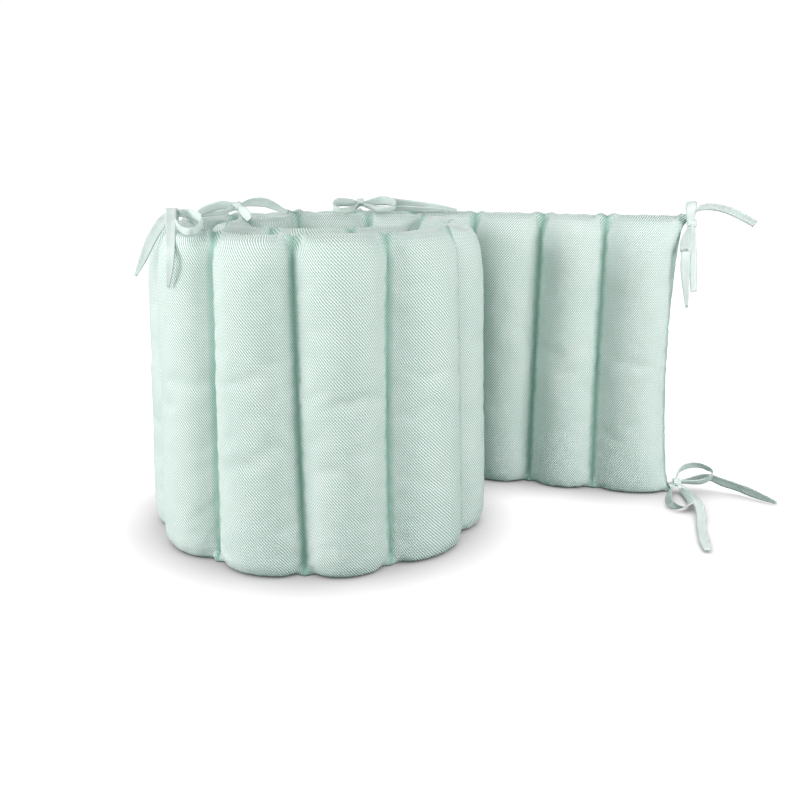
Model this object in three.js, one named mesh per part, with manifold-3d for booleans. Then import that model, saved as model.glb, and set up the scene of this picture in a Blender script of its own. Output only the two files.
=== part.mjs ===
// A quilted crib bumper, rolled up and stood on its long edge, with its last
// channels left straight as a tail and its ribbon ties knotted into bows.
// Units are millimetres, +Z is up, and the part stands on Z = 0.

import * as THREE from 'three';
import { LoftGeometry } from 'three/addons/geometries/LoftGeometry.js';
import { mergeVertices } from 'three/addons/utils/BufferGeometryUtils.js';
import Module from 'manifold-3d';

const wasm = await Module();
wasm.setup();

// ---- Driving dimensions --------------------------------------------------

const PAD_HEIGHT = 300;          // hem to hem, the way the bumper stands
const SEAM_HALF = 1.5;           // half the thickness of cloth sewn flat at a seam
const CHANNEL_SQUARENESS = 2.3;  // 2 is an ellipse across a channel, more is squarer
const HEAD_DEPTH = 28;           // height over which the top edge rounds over
const FOOT_DEPTH = 22;           // height over which the bottom edge rounds under
const NOTCH_DEPTH = 9;           // how far a seam pulls the top edge down
const FOOT_NOTCH = 3;            // how far a seam lifts the bottom edge
const EAR_RISE = 2;              // how far the corner of a channel stands up by its seam
const EAR_PLACE = 0.08;          // where that corner is, as a share of the channel
const END_DRAWN_IN = 6.5;        // how far an end edge curves in between its corners
const END_CORNER_TIGHTNESS = 16; // a higher power keeps that curve nearer the corners

const RIBBON_THICKNESS = 1.2;    // the ribbon, with the narrow hems along its edges
const KNOT_SIZE = { x: 4.5, y: 4.5, z: 5 }; // half the size of the knot of a bow
const RIBBON_STEPS = 3;          // sections of ribbon between two rows of its table
const WELD = 1e-4;               // vertices closer than this are one

// Where the sewn seams stand, in plan, measured from the middle of the roll.
// "fill" is half the thickness of the channel that follows the seam, and "lean"
// is how far the foot of the pad stands out, and its head in, of this line.
const SEAMS = [
	{ name: 'tail end', x: 380, y: 67, lean: 0, fill: 24 },
	{ name: 'tail 1', x: 298, y: 81, lean: 0, fill: 26 },
	{ name: 'tail 2', x: 229, y: 105, lean: 0, fill: 26 },
	{ name: 'tail 3', x: 164, y: 121, lean: 0, fill: 25 },
	{ name: 'back right', x: 97, y: 142, lean: 1, fill: 25 },
	{ name: 'back middle', x: 29, y: 149, lean: 3, fill: 25 },
	{ name: 'back left', x: -38, y: 143, lean: 4, fill: 25.5 },
	{ name: 'left rear', x: -101, y: 98, lean: 5, fill: 25.5 },
	{ name: 'left side', x: -137, y: 30, lean: 5, fill: 25.5 },
	{ name: 'left front', x: -131, y: -47, lean: 5, fill: 26 },
	{ name: 'front 1', x: -82, y: -112, lean: 5, fill: 26.5 },
	{ name: 'front 2', x: -5, y: -140, lean: 8, fill: 26.5 },
	{ name: 'front 3', x: 72, y: -119, lean: 5, fill: 26 },
	{ name: 'right front', x: 126, y: -58, lean: 5, fill: 26 },
	{ name: 'right side', x: 135, y: 18, lean: 3, fill: 25 },
	{ name: 'turn under', x: 109, y: 79, lean: 4, fill: 23.5 },
	{ name: 'inner back 1', x: 48, y: 95, lean: 4, fill: 23 },
	{ name: 'inner back 2', x: -29, y: 90, lean: 4, fill: 23 },
	{ name: 'inner left 1', x: -80, y: 46, lean: 5, fill: 23 },
	{ name: 'inner left 2', x: -86, y: -22, lean: 5, fill: 23 },
	{ name: 'inner front 1', x: -34, y: -80, lean: 5, fill: 23 },
	{ name: 'inner front 2', x: 37, y: -78, lean: 5, fill: 20 },
	{ name: 'inner end', x: 94, y: -37, lean: 5, fill: 20 },
];

// Where the pad is sectioned across each channel, as shares of the channel.
const CHANNEL_STATIONS = [ 0, 0.03, 0.09, 0.2, 0.38, 0.62, 0.8, 0.91, 0.97 ];

// How an upright section rounds under at the foot and over at the head. "out" is
// a share of the half thickness, "up" and "down" shares of that rounding's depth.
// The first row of the foot is what presses flat on the floor.
const FOOT_PROFILE = [
	{ out: 0.5, up: 0 },
	{ out: 0.84, up: 0.24 },
	{ out: 1, up: 1 },
];
const HEAD_PROFILE = [
	{ out: 1, down: 1 },
	{ out: 0.87, down: 0.48 },
	{ out: 0.55, down: 0.15 },
];
const WALL_HEIGHTS = [ 0.28, 0.5, 0.72 ]; // rings between the two, shares of the height

// ---- The quilted pad -----------------------------------------------------

const CHANNELS = SEAMS.length - 1;
const spine = new THREE.CatmullRomCurve3(
	SEAMS.map( ( seam ) => new THREE.Vector3( seam.x, seam.y, 0 ) ), false, 'centripetal' );

// The place on the pad's middle line a given number of channels from the tail end,
// with the direction along the pad and the direction out of the roll.
function spineAt( channels ) {

	const share = THREE.MathUtils.clamp( channels / CHANNELS, 0, 1 );
	const point = spine.getPoint( share );
	const along = spine.getTangent( share );
	const out = new THREE.Vector3( along.y, - along.x, 0 );
	return { point, along, out };

}

// A value of the seam table, carried smoothly from one seam to the next.
function betweenSeams( column, channels ) {

	const first = Math.min( Math.floor( channels ), CHANNELS - 1 );
	const share = THREE.MathUtils.smoothstep( channels - first, 0, 1 );
	return THREE.MathUtils.lerp( SEAMS[ first ][ column ], SEAMS[ first + 1 ][ column ], share );

}

// How far the pad stands out of its middle line at a height, because it leans.
function leanOut( channels, up ) {

	return betweenSeams( 'lean', channels ) * ( 1 - 2 * up / PAD_HEIGHT );

}

// Half the thickness of a channel, from one seam (0) across to the next (1).
function halfThickness( fill, across ) {

	const offCentre = Math.abs( 2 * across - 1 );
	const crown = Math.sqrt( Math.max( 0, 1 - offCentre ** CHANNEL_SQUARENESS ) );
	return SEAM_HALF + ( fill - SEAM_HALF ) * crown;

}

// How high the top edge stands: pulled down at a seam, with an ear beside it.
function headHeight( across ) {

	const fromSeam = Math.min( across, 1 - across );
	const pulled = 1 - THREE.MathUtils.smoothstep( fromSeam, 0, EAR_PLACE );
	const ear = Math.exp( - ( ( ( fromSeam - EAR_PLACE ) / EAR_PLACE ) ** 2 ) );
	return PAD_HEIGHT - NOTCH_DEPTH * pulled + EAR_RISE * ear * ( 1 - pulled );

}

function footHeight( across ) {

	const fromSeam = Math.min( across, 1 - across );
	return FOOT_NOTCH * ( 1 - THREE.MathUtils.smoothstep( fromSeam, 0, EAR_PLACE ) );

}

// The outline of the pad in one upright section, as { out, up } pairs, from the
// foot up the inner face, over the head and down the outer face.
function sectionOutline( half, foot, head ) {

	const sides = [
		...FOOT_PROFILE.map( ( { out, up } ) => ( { out, up: foot + up * FOOT_DEPTH } ) ),
		...WALL_HEIGHTS.map( ( share ) => ( { out: 1, up: share * PAD_HEIGHT } ) ),
		...HEAD_PROFILE.map( ( { out, down } ) => ( { out, up: head - down * HEAD_DEPTH } ) ),
	];
	const outer = sides.map( ( { out, up } ) => ( { out: out * half, up } ) );
	const inner = outer.map( ( { out, up } ) => ( { out: - out, up } ) ).reverse();
	return [ ...outer, { out: 0, up: head }, ...inner ].reverse();

}

// How far an end edge is drawn in at a height, fading out across its channel.
function drawnIn( channels, up ) {

	const hollow = 1 - Math.abs( 2 * up / PAD_HEIGHT - 1 ) ** END_CORNER_TIGHTNESS;
	const fromStart = Math.max( 0, 1 - channels ) ** 2;
	const fromFinish = Math.max( 0, channels - ( CHANNELS - 1 ) ) ** 2;
	return END_DRAWN_IN * hollow * ( fromStart - fromFinish );

}

// A seam's point on the hem of the pad: at its top edge, or at its foot.
function hemPoint( seam, edge ) {

	const { point, out } = spineAt( seam );
	return point.addScaledVector( out, leanOut( seam, edge ) ).setZ( edge );

}

function padSection( channels ) {

	const channel = Math.min( Math.floor( channels ), CHANNELS - 1 );
	const across = channels - channel;
	const { point, along, out } = spineAt( channels );
	const half = halfThickness( SEAMS[ channel ].fill, across );
	const outline = sectionOutline( half, footHeight( across ), headHeight( across ) );
	return outline.map( ( corner ) => point.clone()
		.addScaledVector( out, corner.out + leanOut( channels, corner.up ) )
		.addScaledVector( along, drawnIn( channels, corner.up ) )
		.setZ( corner.up ) );

}

function buildPad() {

	const sections = [];
	for ( let channel = 0; channel < CHANNELS; channel ++ ) {

		for ( const station of CHANNEL_STATIONS ) sections.push( padSection( channel + station ) );

	}

	sections.push( padSection( CHANNELS ) );
	return new LoftGeometry( sections, { closed: true, capStart: true, capEnd: true } );

}

// ---- The ribbon ties -----------------------------------------------------

// Each tie is a few lengths of one ribbon that meet in a knot. Places are offsets
// from the point of the hem where the tie is sewn on, "up" from the pad's nominal
// top edge, or from the floor for a tie at the foot. "wide" is the ribbon's width
// there, and "across" the way that its width points before it follows its length.
const TIES = [
	{
		name: 'tie_left', seam: 9, edge: PAD_HEIGHT, knot: { x: - 0.5, y: - 3, up: 11 },
		ribbons: [
			{ across: [ - 0.94, - 0.34, 0 ], rows: [
				{ x: 0, y: 0, up: - 7.3, wide: 2 }, { x: - 0.5, y: - 1, up: 1, wide: 7 },
				{ x: - 0.5, y: - 3, up: 11, wide: 7 } ] },
			{ across: [ 0.85, - 0.1, - 0.5 ], rows: [
				{ x: - 2, y: - 2, up: 11, wide: 6 }, { x: - 8, y: - 3, up: 7, wide: 9 },
				{ x: - 13.5, y: - 6, up: 1, wide: 10 }, { x: - 22.5, y: - 10, up: - 14, wide: 10 },
				{ x: - 28.5, y: - 14, up: - 28, wide: 8 }, { x: - 36.5, y: - 17, up: - 45, wide: 3 } ] },
			{ across: [ 1, - 0.2, 0 ], rows: [
				{ x: - 1.5, y: - 4, up: 11, wide: 6 }, { x: - 1, y: - 12, up: 16, wide: 10 },
				{ x: 1.5, y: - 26, up: 9, wide: 10 }, { x: 5.5, y: - 49, up: - 5, wide: 9 },
				{ x: 8.5, y: - 67, up: - 20, wide: 8 }, { x: 7.5, y: - 70, up: - 33, wide: 7 },
				{ x: 4.5, y: - 67, up: - 48, wide: 3 } ] },
			{ across: [ 0, - 0.35, 0.93 ], rows: [
				{ x: 1.5, y: - 4, up: 11, wide: 6 }, { x: 10.5, y: - 8, up: 11, wide: 9 },
				{ x: 24.5, y: - 26, up: 10, wide: 10 }, { x: 34.5, y: - 54, up: 6.5, wide: 9 },
				{ x: 32.5, y: - 78, up: 1.5, wide: 8 }, { x: 22.5, y: - 73, up: 1, wide: 8 },
				{ x: 9.5, y: - 40, up: 4, wide: 8 }, { x: 1.5, y: - 8, up: 11, wide: 6 } ] },
		],
	},
	{
		name: 'tie_inner', seam: 18, edge: PAD_HEIGHT, knot: { x: - 8, y: 1.5, up: 11 },
		ribbons: [
			{ across: [ - 0.86, 0.5, 0 ], rows: [
				{ x: 0, y: 0, up: - 7.1, wide: 2 }, { x: - 2.5, y: 0.5, up: 1, wide: 4 },
				{ x: - 8, y: 1.5, up: 10, wide: 6 } ] },
			{ across: [ 0, - 0.5, 0.87 ], rows: [
				{ x: - 8, y: 1.5, up: 11, wide: 5 }, { x: - 22.5, y: - 4.5, up: 12, wide: 10 },
				{ x: - 35.5, y: - 9.5, up: 9, wide: 10 }, { x: - 43.5, y: - 12.5, up: 5, wide: 8 },
				{ x: - 36.5, y: - 5.5, up: 4, wide: 6 }, { x: - 23.5, y: - 1.5, up: 5, wide: 6 },
				{ x: - 8, y: 0.5, up: 10, wide: 5 } ] },
			{ across: [ 0, - 0.5, 0.87 ], rows: [
				{ x: - 6.5, y: 3.5, up: 11, wide: 5 }, { x: 3.5, y: 13.5, up: 14, wide: 9 },
				{ x: 16.5, y: 25.5, up: 13, wide: 10 }, { x: 28.5, y: 35.5, up: 7, wide: 8 },
				{ x: 38.5, y: 33.5, up: 3, wide: 5 } ] },
			{ across: [ 0.8, - 0.1, 0.6 ], rows: [
				{ x: - 6, y: - 0.5, up: 10, wide: 5 }, { x: 1.5, y: - 12.5, up: 6, wide: 9 },
				{ x: 7.5, y: - 22.5, up: 0, wide: 7 } ] },
		],
	},
	{
		name: 'tie_back', seam: 5, edge: PAD_HEIGHT, knot: { x: 8, y: 1, up: 8 },
		ribbons: [
			{ across: [ 0.1, 1, 0 ], rows: [
				{ x: 0, y: 0, up: - 7, wide: 1.6 }, { x: 1, y: 0, up: - 2, wide: 3 },
				{ x: 8, y: 1, up: 8, wide: 6 } ] },
			{ across: [ 0, - 0.5, 0.87 ], rows: [
				{ x: 7, y: 1, up: 6, wide: 5 }, { x: - 3.5, y: - 4, up: 8, wide: 9 },
				{ x: - 16, y: - 17, up: 9, wide: 10 }, { x: - 20, y: - 37, up: 6, wide: 9 },
				{ x: - 11, y: - 53, up: 3.5, wide: 7 }, { x: 0.5, y: - 42, up: 4, wide: 7 },
				{ x: 7, y: - 3, up: 6, wide: 5 } ] },
			{ across: [ 0, - 0.5, 0.87 ], rows: [
				{ x: 10, y: 1, up: 6, wide: 5 }, { x: 21, y: - 1, up: 9, wide: 9 },
				{ x: 35, y: - 7, up: 11, wide: 11 }, { x: 47, y: - 22, up: 8, wide: 9 },
				{ x: 42, y: - 42, up: 4, wide: 7 }, { x: 28, y: - 47, up: 4, wide: 7 },
				{ x: 11, y: - 5, up: 6, wide: 5 } ] },
			{ across: [ 0, - 0.5, 0.87 ], rows: [
				{ x: 11, y: 3, up: 6, wide: 5 }, { x: 35, y: 1, up: 9, wide: 9 },
				{ x: 57, y: - 11, up: 8, wide: 10 }, { x: 79, y: - 23, up: 6, wide: 10 },
				{ x: 98, y: - 29, up: 4, wide: 8 }, { x: 113, y: - 31, up: 2, wide: 4 } ] },
			{ across: [ 0, - 0.7, 0.7 ], rows: [
				{ x: 11, y: - 3, up: 6, wide: 5 }, { x: 35, y: - 23, up: 3, wide: 7 },
				{ x: 57, y: - 31, up: 4, wide: 8 }, { x: 79, y: - 37, up: 3, wide: 8 },
				{ x: 100, y: - 41, up: 3, wide: 5 } ] },
		],
	},
	{
		name: 'tie_end_top', seam: 0, edge: PAD_HEIGHT, knot: { x: 1.5, y: - 5, up: - 8 },
		ribbons: [
			{ across: [ 0, 1, 0 ], rows: [
				{ x: - 3.5, y: 0, up: - 8.5, wide: 2.5 }, { x: 1, y: - 1, up: - 9, wide: 5 },
				{ x: 1.5, y: - 5, up: - 9, wide: 7 } ] },
			{ across: [ 1, 0, 0.1 ], rows: [
				{ x: - 1, y: - 8, up: - 10, wide: 6 }, { x: - 2, y: - 11, up: 7, wide: 11 },
				{ x: - 0.5, y: - 4, up: 14, wide: 11 }, { x: 2, y: 3, up: 6, wide: 11 },
				{ x: 1, y: 0, up: - 7, wide: 6 } ] },
			{ across: [ 0.7, - 0.5, 0.3 ], rows: [
				{ x: 0, y: - 6, up: - 10, wide: 6 }, { x: - 7, y: - 16, up: - 22, wide: 9 },
				{ x: - 9, y: - 21, up: - 32, wide: 9 }, { x: - 3.5, y: - 13, up: - 34, wide: 9 },
				{ x: 1, y: - 6, up: - 11, wide: 6 } ] },
			{ across: [ 0.1, - 0.45, 0.9 ], rows: [
				{ x: 2, y: - 4, up: - 6, wide: 5 }, { x: 7, y: 0, up: 5, wide: 6 },
				{ x: 16, y: 0, up: 9, wide: 8 }, { x: 31, y: - 1, up: 8, wide: 9 },
				{ x: 48, y: - 3, up: 2, wide: 9 }, { x: 67, y: - 6, up: - 8, wide: 9 } ] },
			{ across: [ 1, - 0.2, 0 ], rows: [
				{ x: 0, y: - 6, up: - 10, wide: 6 }, { x: - 6, y: - 18, up: - 34, wide: 9 },
				{ x: - 6, y: - 20, up: - 56, wide: 9 }, { x: - 1, y: - 18, up: - 93, wide: 3 } ] },
			{ across: [ 1, 0.1, 0 ], rows: [
				{ x: 2, y: - 5, up: - 10, wide: 6 }, { x: 5, y: - 6, up: - 37, wide: 7 },
				{ x: 6, y: - 7, up: - 58, wide: 8 }, { x: 8, y: - 8, up: - 78, wide: 7 } ] },
		],
	},
	{
		name: 'tie_end_foot', seam: 0, edge: 0, knot: { x: 5, y: - 7, up: 11 },
		ribbons: [
			{ across: [ 0, 1, 0 ], rows: [
				{ x: - 2.3, y: 0, up: 7, wide: 2.5 }, { x: 1, y: - 1, up: 8, wide: 5 },
				{ x: 5, y: - 7, up: 11, wide: 8 } ] },
			{ across: [ - 0.1, - 0.85, 0.5 ], rows: [
				{ x: 4, y: - 7, up: 13.5, wide: 6 }, { x: 8, y: - 7, up: 25, wide: 10 },
				{ x: 18, y: - 8, up: 31, wide: 11 }, { x: 31, y: - 9, up: 30.5, wide: 11 },
				{ x: 41, y: - 11, up: 25, wide: 11 }, { x: 40, y: - 12, up: 17.5, wide: 11 },
				{ x: 30, y: - 11, up: 12.5, wide: 10 }, { x: 16, y: - 10, up: 12, wide: 9 },
				{ x: 5, y: - 8, up: 11.5, wide: 6 } ] },
			{ across: [ 0.2, - 0.5, 0.85 ], rows: [
				{ x: 7, y: - 5, up: 10.5, wide: 5 }, { x: 24, y: 1, up: 12, wide: 9 },
				{ x: 41, y: - 1, up: 15, wide: 10 }, { x: 55, y: - 8, up: 11.5, wide: 11 },
				{ x: 72, y: - 18, up: 8, wide: 11 }, { x: 88, y: - 35, up: 5, wide: 9 },
				{ x: 101, y: - 49, up: 2.5, wide: 4 } ] },
			{ across: [ 0.5, - 0.6, 0.5 ], rows: [
				{ x: 3, y: - 10, up: 10, wide: 6 }, { x: - 6, y: - 22, up: 3.5, wide: 7 },
				{ x: - 15, y: - 59, up: 6, wide: 8 }, { x: - 4, y: - 68, up: 5, wide: 9 },
				{ x: 8, y: - 53, up: 6, wide: 9 }, { x: 8, y: - 16, up: 6, wide: 6 } ] },
			{ across: [ 0.9, 0.4, 0.1 ], rows: [
				{ x: 6, y: - 11, up: 9, wide: 6 }, { x: 14, y: - 23, up: 4, wide: 9 },
				{ x: 12, y: - 64, up: 8, wide: 10 }, { x: 9, y: - 88, up: 5, wide: 10 },
				{ x: 2, y: - 112, up: 3, wide: 9 }, { x: - 6, y: - 151, up: 3, wide: 10 },
				{ x: - 10, y: - 175, up: 3, wide: 7 } ] },
		],
	},
];

function solidOf( geometry ) {

	const bare = new THREE.BufferGeometry();
	bare.setAttribute( 'position', geometry.attributes.position );
	bare.setIndex( geometry.index );
	const merged = mergeVertices( bare, WELD );
	return new wasm.Manifold( new wasm.Mesh( {
		numProp: 3,
		vertProperties: merged.attributes.position.array,
		triVerts: new Uint32Array( merged.index.array ),
	} ) );

}

function geometryOf( solid ) {

	const mesh = solid.getMesh();
	const geometry = new THREE.BufferGeometry();
	geometry.setAttribute( 'position', new THREE.BufferAttribute( mesh.vertProperties, 3 ) );
	geometry.setIndex( new THREE.BufferAttribute( mesh.triVerts, 1 ) );
	return geometry;

}

// One length of ribbon: a flat band lofted through its rows.
function ribbonSolid( { rows, across } ) {

	const line = new THREE.CatmullRomCurve3(
		rows.map( ( row ) => new THREE.Vector3( row.x, row.y, row.up ) ), false, 'centripetal' );
	const hint = new THREE.Vector3( ...across ).normalize();
	const steps = ( rows.length - 1 ) * RIBBON_STEPS;
	const sections = [];
	for ( let step = 0; step <= steps; step ++ ) {

		const place = step / RIBBON_STEPS;
		const first = Math.min( Math.floor( place ), rows.length - 2 );
		const wide = THREE.MathUtils.lerp( rows[ first ].wide, rows[ first + 1 ].wide, place - first );
		const centre = line.getPoint( step / steps );
		const tangent = line.getTangent( step / steps );
		const side = hint.clone().addScaledVector( tangent, - hint.dot( tangent ) ).normalize();
		const face = tangent.clone().cross( side );
		const corners = [ [ - 1, - 1 ], [ 1, - 1 ], [ 1, 1 ], [ - 1, 1 ] ];
		sections.push( corners.map( ( [ u, v ] ) => centre.clone()
			.addScaledVector( side, u * wide / 2 )
			.addScaledVector( face, v * RIBBON_THICKNESS / 2 ) ) );

	}

	return solidOf( new LoftGeometry( sections, { closed: true, capStart: true, capEnd: true } ) );

}

function buildTie( tie ) {

	const knot = new THREE.SphereGeometry( 1, 8, 6 )
		.scale( KNOT_SIZE.x, KNOT_SIZE.y, KNOT_SIZE.z )
		.translate( tie.knot.x, tie.knot.y, tie.knot.up );
	const lengths = tie.ribbons.map( ribbonSolid );
	const solid = lengths.reduce( ( joined, length ) => joined.add( length ), solidOf( knot ) );
	const mesh = new THREE.Mesh( geometryOf( solid ), ribbonCloth );
	mesh.position.copy( hemPoint( tie.seam, tie.edge ) );
	mesh.name = tie.name;
	return mesh;

}

// ---- The whole bumper ----------------------------------------------------

const cloth = new THREE.MeshStandardMaterial( { color: 0xcde6de, roughness: 0.95, metalness: 0 } );
const ribbonCloth = new THREE.MeshStandardMaterial( { color: 0xc3dfd6, roughness: 0.85, metalness: 0 } );

const bumper = new THREE.Group();
const pad = new THREE.Mesh( buildPad(), cloth );
pad.name = 'bumper_pad';
bumper.add( pad );
for ( const tie of TIES ) bumper.add( buildTie( tie ) );

// The origin is the middle of the footprint, on the floor.
const extent = new THREE.Box3().setFromObject( bumper );
const middle = extent.getCenter( new THREE.Vector3() );
bumper.position.set( - middle.x, - middle.y, - extent.min.z );

export default bumper;
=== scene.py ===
"""A quilted crib bumper, rolled up on its long edge, with knotted ribbon ties.

The pad is a strip of sewn and filled channels. One length of it is blown up as cloth,
and its wrinkled skin is then laid along the line in which the bumper is wound. The ties
are lengths of ribbon, each with its own turn, that meet in a wrapped knot.
Everything is in metres, +Z up, in the frame of the solids.
"""

import logging
import math
from dataclasses import dataclass, field
from enum import Enum

import bpy
import numpy as np
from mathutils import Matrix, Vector


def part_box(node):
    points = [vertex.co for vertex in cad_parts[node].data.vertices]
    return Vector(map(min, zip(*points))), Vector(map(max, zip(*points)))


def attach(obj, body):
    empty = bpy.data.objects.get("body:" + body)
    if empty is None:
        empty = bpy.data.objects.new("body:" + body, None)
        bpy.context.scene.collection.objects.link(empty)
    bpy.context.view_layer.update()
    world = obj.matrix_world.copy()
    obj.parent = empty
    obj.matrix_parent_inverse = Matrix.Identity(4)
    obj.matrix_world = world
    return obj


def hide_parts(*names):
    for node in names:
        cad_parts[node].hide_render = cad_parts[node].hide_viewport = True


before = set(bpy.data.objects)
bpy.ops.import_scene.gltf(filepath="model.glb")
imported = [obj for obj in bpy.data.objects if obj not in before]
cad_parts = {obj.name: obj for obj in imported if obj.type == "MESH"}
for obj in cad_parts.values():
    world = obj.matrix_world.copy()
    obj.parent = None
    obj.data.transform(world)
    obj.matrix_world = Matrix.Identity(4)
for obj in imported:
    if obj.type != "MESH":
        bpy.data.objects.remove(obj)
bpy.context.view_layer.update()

LOG = logging.getLogger("crib_bumper")
MM = 0.001
# Keeps a division from meeting a zero.
TINY = 1e-9
BODY = "root"


# ---- Where the bumper stands -------------------------------------------------------


@dataclass(frozen=True)
class Seam:
    """One sewn seam of the pad, in plan, in millimetres from the middle of the roll.

    "fill" is half the thickness of the channel that follows, and "lean" is how far
    the foot of the pad stands out, and its head in, of the middle line.
    """

    name: str
    x: float
    y: float
    lean: float
    fill: float


SEAMS = (
    Seam("tail end", 380, 67, 0, 24),
    Seam("tail 1", 298, 81, 0, 26),
    Seam("tail 2", 229, 105, 0, 26),
    Seam("tail 3", 164, 121, 0, 25),
    Seam("back right", 97, 142, 1, 25),
    Seam("back middle", 29, 149, 3, 25),
    Seam("back left", -38, 143, 4, 25.5),
    Seam("left rear", -101, 98, 5, 25.5),
    Seam("left side", -137, 30, 5, 25.5),
    Seam("left front", -131, -47, 5, 26),
    Seam("front 1", -82, -112, 5, 26.5),
    Seam("front 2", -5, -140, 8, 26.5),
    Seam("front 3", 72, -119, 5, 26),
    Seam("right front", 126, -58, 5, 26),
    Seam("right side", 135, 18, 3, 25),
    Seam("turn under", 109, 79, 4, 23.5),
    Seam("inner back 1", 48, 95, 4, 23),
    Seam("inner back 2", -29, 90, 4, 23),
    Seam("inner left 1", -80, 46, 5, 23),
    Seam("inner left 2", -86, -22, 5, 23),
    Seam("inner front 1", -34, -80, 5, 23),
    Seam("inner front 2", 37, -78, 5, 20),
    Seam("inner end", 94, -37, 5, 20),
)
CHANNELS = len(SEAMS) - 1
# How far some seams stray along the pad: seam, then millimetres at foot, middle, head.
STRAYS = (
    (0, -3.0, 6.0, 0.0),
    (1, 1.5, 2.5, 1.0),
    (2, -1.0, -3.0, -6.0),
    (10, 4.5, 4.0, 3.0),
    (11, 1.5, -2.0, -4.5),
    (12, -7.0, -7.5, -3.0),
)
PAD_HEIGHT = 0.300
# The pitch that turns how far a seam strays into a share of a channel.
MEAN_PITCH = 0.078
PAD_CORNER = Vector((-0.16895, -0.16867, 0.0))


def roll_centre() -> Vector:
    """The middle of the roll, on the floor, from the corner of the pad's solid."""
    return Vector((*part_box("bumper_pad")[0].xy, 0.0)) - PAD_CORNER


@dataclass
class WoundLine:
    """The line in which the pad is wound, through every seam, seen in plan.

    Places on it are counted in channels, from 0 at the tail end.
    """

    centre: Vector = field(default_factory=roll_centre)
    knots: np.ndarray = field(init=False)

    def __post_init__(self) -> None:
        """Works out the seams' places, with one more past each end."""
        middle = np.array(self.centre.xy)
        points = np.array([(seam.x * MM, seam.y * MM) for seam in SEAMS]) + middle
        before = 2 * points[0] - points[1]
        after = 2 * points[-1] - points[-2]
        self.knots = np.vstack([before, points, after])

    def at(self, channels: np.ndarray) -> tuple[np.ndarray, np.ndarray, np.ndarray]:
        """Points of the line and its directions there.

        Args:
            channels: Places along the line, in channels from the tail end.

        Returns:
            The points, the unit direction along the pad, and the unit direction out
            of the roll, each with a last axis of 2.
        """
        channel = np.clip(np.floor(channels).astype(int), 0, CHANNELS - 1)
        share = (channels - channel)[..., None]
        p0, p1, p2, p3 = (self.knots[channel + k] for k in range(4))
        t0 = np.linalg.norm(p1 - p0, axis=-1, keepdims=True) ** 0.5
        t1 = np.linalg.norm(p2 - p1, axis=-1, keepdims=True) ** 0.5
        t2 = np.linalg.norm(p3 - p2, axis=-1, keepdims=True) ** 0.5
        start = ((p1 - p0) / t0 - (p2 - p0) / (t0 + t1) + (p2 - p1) / t1) * t1
        finish = ((p2 - p1) / t1 - (p3 - p1) / (t1 + t2) + (p3 - p2) / t2) * t1
        square = -3 * p1 + 3 * p2 - 2 * start - finish
        cube = 2 * p1 - 2 * p2 + start + finish
        point = p1 + start * share + square * share**2 + cube * share**3
        along = start + 2 * square * share + 3 * cube * share**2
        along = along / np.linalg.norm(along, axis=-1, keepdims=True)
        out = np.stack([along[..., 1], -along[..., 0]], axis=-1)
        return point, along, out

    def strayed(self, channels: np.ndarray, height: np.ndarray) -> np.ndarray:
        """Places along the line once each seam strays from its upright line.

        Args:
            channels: Places along the line, in channels.
            height: Heights above the floor, in metres.

        Returns:
            The strayed places, in channels.
        """
        share = (height / PAD_HEIGHT).clip(0, 1)
        moved = channels.astype(float).copy()
        for seam, foot, middle, head in STRAYS:
            bow = 4 * share * (1 - share)
            stray = foot * (1 - share) + head * share + (middle - (foot + head) / 2) * bow
            near = (1 - np.abs(channels - seam)).clip(0, 1)
            moved += stray * MM / MEAN_PITCH * near * near * (3 - 2 * near)
        return moved

    def between(self, column: str, channels: np.ndarray) -> np.ndarray:
        """A value of the seam table, carried smoothly from seam to seam.

        Args:
            column: The name of the value, "lean" or "fill".
            channels: Places along the line, in channels.

        Returns:
            The value at each place, in metres.
        """
        values = np.array([getattr(seam, column) for seam in SEAMS]) * MM
        channel = np.clip(np.floor(channels).astype(int), 0, CHANNELS - 1)
        share = np.clip(channels - channel, 0, 1)
        share = share * share * (3 - 2 * share)
        return values[channel] * (1 - share) + values[channel + 1] * share

    def lean_out(self, channels: np.ndarray, height: np.ndarray) -> np.ndarray:
        """How far the pad stands out of its middle line at each height, in metres."""
        return self.between("lean", channels) * (1 - 2 * height / PAD_HEIGHT)

    def hem_point(self, seam: int, height: float) -> Vector:
        """The point of the hem at a seam, at the head or the foot of the pad."""
        place = np.array([float(seam)])
        point, _, out = self.at(place)
        spot = point[0] + out[0] * self.lean_out(place, np.array([height]))[0]
        return Vector((spot[0], spot[1], height))


# ---- Small tools for meshes --------------------------------------------------------


def deselect_all() -> None:
    """Clears the selection, so that an operator acts only on what comes next."""
    for item in bpy.context.selected_objects:
        item.select_set(False)


def make_active(piece: bpy.types.Object) -> None:
    """Makes one object the selected and active one."""
    deselect_all()
    bpy.context.view_layer.objects.active = piece
    piece.select_set(True)


def new_object(name: str, points: np.ndarray, faces: list[tuple]) -> bpy.types.Object:
    """A mesh object at the origin, from points and faces.

    Args:
        name: The piece's name.
        points: One row of x, y and z for each vertex.
        faces: Tuples of vertex numbers, turning so that the face looks outwards.

    Returns:
        The new object, smooth shaded.
    """
    mesh = bpy.data.meshes.new(name)
    mesh.from_pydata(points.tolist(), [], faces)
    mesh.validate()
    mesh.update()
    mesh.shade_smooth()
    made = bpy.data.objects.new(name, mesh)
    bpy.context.scene.collection.objects.link(made)
    return made


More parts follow.
